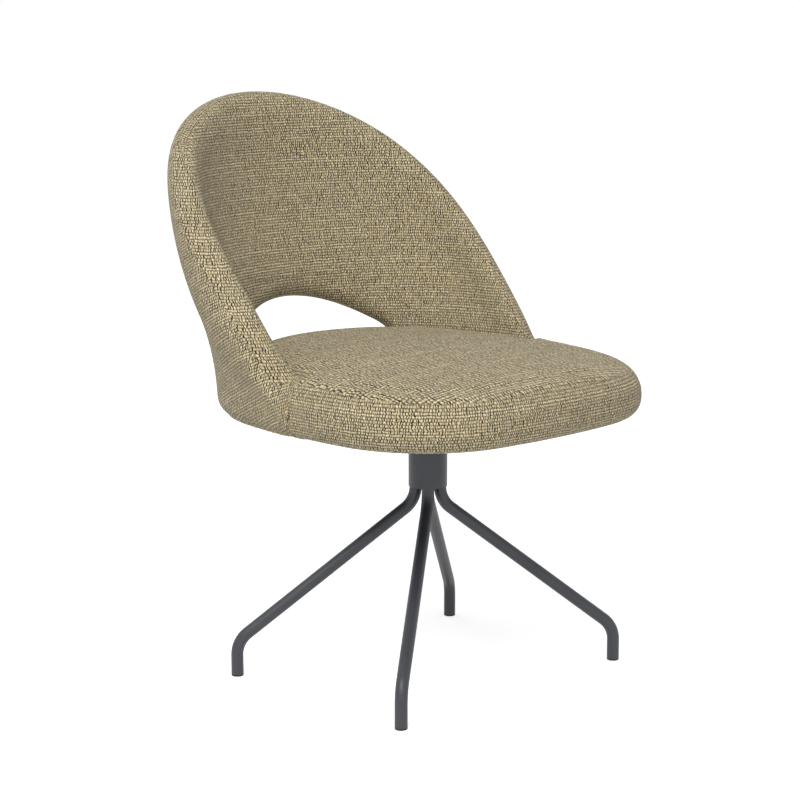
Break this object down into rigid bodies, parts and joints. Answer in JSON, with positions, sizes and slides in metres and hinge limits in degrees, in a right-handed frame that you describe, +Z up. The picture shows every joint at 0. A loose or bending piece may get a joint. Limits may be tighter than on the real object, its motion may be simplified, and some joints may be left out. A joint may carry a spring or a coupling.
{
  "type": "swivel dining chair",
  "caption": "Upholstered tub dining chair with a wraparound back, a gap behind the seat and a swivel on bent round-tube legs.",
  "frame": {"origin": "on the floor, under the swivel axis", "axes": "+Z up along the swivel axis, +X to the sitter's left, -Y the way the sitter faces"},
  "size_m": [0.5668, 0.672, 0.8338],
  "materials": {
    "powder_coat": "satin",
    "glide": "matte",
    "bush": "matte",
    "zinc_steel": "satin",
    "plywood": "matte",
    "lining": "matte",
    "upholstery": "coarse weave"
  },
  "bodies": {
    "base": {"leg_front_left": "powder_coat", "leg_front_right": "powder_coat", "leg_rear_left": "powder_coat", "leg_rear_right": "powder_coat", "glide_front_left": "glide", "glide_front_right": "glide", "glide_rear_left": "glide", "glide_rear_right": "glide", "hub_collar": "powder_coat", "leg_spacer": "powder_coat", "hub_disc": "powder_coat", "bearing_housing": "powder_coat", "lower_bush": "bush", "upper_bush": "bush", "thrust_washer": "bush"},
    "seat": {"spindle": "zinc_steel", "keeper_washer": "zinc_steel", "keeper_screw": "zinc_steel", "seat_plate": "powder_coat", "seat_bolts": "zinc_steel", "tee_nuts": "zinc_steel", "seat_board": "plywood", "dust_cover": "lining", "core_screws": "zinc_steel", "back_core": "plywood", "seat_cushion": "upholstery", "back_padding": "upholstery", "arm_padding_left": "upholstery", "arm_padding_right": "upholstery"}
  },
  "joints": [
    {"name": "swivel", "type": "hinge", "parent": "base", "child": "seat", "pos_m": [0, 0, 0.35], "axis": [0, 0, 1], "continuous": true}
  ]
}
